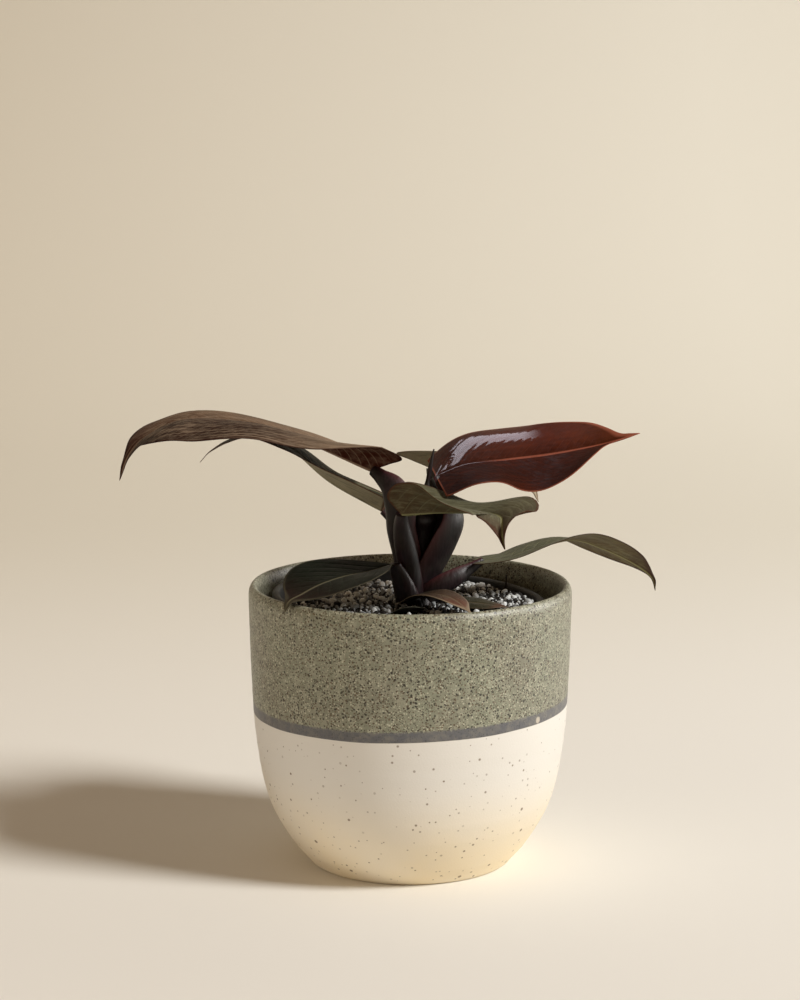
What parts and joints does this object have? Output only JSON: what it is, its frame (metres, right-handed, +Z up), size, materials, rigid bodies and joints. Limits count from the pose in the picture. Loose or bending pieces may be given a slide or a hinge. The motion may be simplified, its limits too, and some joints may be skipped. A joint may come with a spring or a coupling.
{
  "type": "potted red sun philodendron",
  "caption": "Young dark-leaved philodendron with long drooping blades on sheathed stalks, in a nursery pot of potting mix inside a round two-tone glazed stoneware pot.",
  "frame": {"origin": "centre of the flat base of the outer pot, on the surface that it stands on", "axes": "+Z up; +X towards the right and -Y towards the viewer of the picture"},
  "size_m": [0.2365, 0.1396, 0.1939],
  "materials": {
    "stoneware": "satin",
    "nursery_plastic": "satin",
    "mix": "matte",
    "stalk": "satin",
    "dry_wood": "matte",
    "blade_brown": "satin",
    "blade_red": "gloss",
    "blade_green": "satin"
  },
  "bodies": {
    "root": {"ceramic_pot": "stoneware", "nursery_pot": "nursery_plastic", "potting_mix": "mix", "stems_and_stalks": "stalk", "dry_stalk": "dry_wood", "leaf_long_left": "blade_brown", "leaf_narrow_left": "blade_green", "leaf_red_right": "blade_red", "leaf_behind_right": "blade_green", "leaf_front": "blade_green", "leaf_low_right": "blade_green", "leaf_over_rim": "blade_green", "old_leaf_front": "blade_brown", "old_leaf_small": "blade_green", "old_leaf_on_soil": "blade_brown"}
  },
  "joints": []
}
